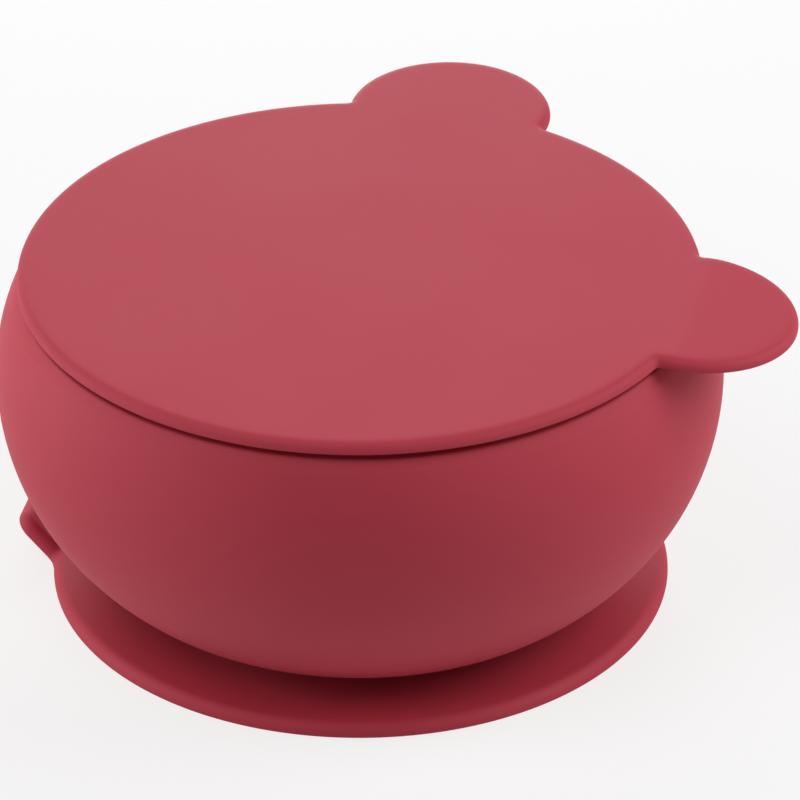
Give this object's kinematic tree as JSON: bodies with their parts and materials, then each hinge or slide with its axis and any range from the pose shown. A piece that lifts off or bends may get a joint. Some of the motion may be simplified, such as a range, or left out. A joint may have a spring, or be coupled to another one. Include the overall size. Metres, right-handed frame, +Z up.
{
  "type": "suction bowl",
  "caption": "Round silicone feeding bowl on a suction base with a turned-up pull tab, closed by a press-on lid with round lifting ears.",
  "frame": {"origin": "on the bowl's axis, in the plane of the sealing lip that stands on the table", "axes": "+Z up along the bowl's axis, out of the mouth; -X towards the pull tab; +Y completes the right-handed frame"},
  "size_m": [0.135, 0.1349, 0.0594],
  "materials": {
    "bowl_silicone": "matte",
    "base_silicone": "matte",
    "lid_silicone": "matte"
  },
  "bodies": {
    "bowl": {"bowl": "bowl_silicone", "suction_base": "base_silicone"},
    "tab": {"pull_tab": "base_silicone"},
    "lid": {"lid": "lid_silicone"}
  },
  "joints": [
    {"name": "lid_lift", "type": "slide", "parent": "bowl", "child": "lid", "axis": [0, 0, 1], "range_m": [0, 0.06]},
    {"name": "tab_bend", "type": "hinge", "parent": "bowl", "child": "tab", "pos_m": [-0.051, 0, 0.0011], "axis": [0, 1, 0], "range_deg": [-34, 50], "stiffness_Nm_per_rad": 0.012}
  ]
}
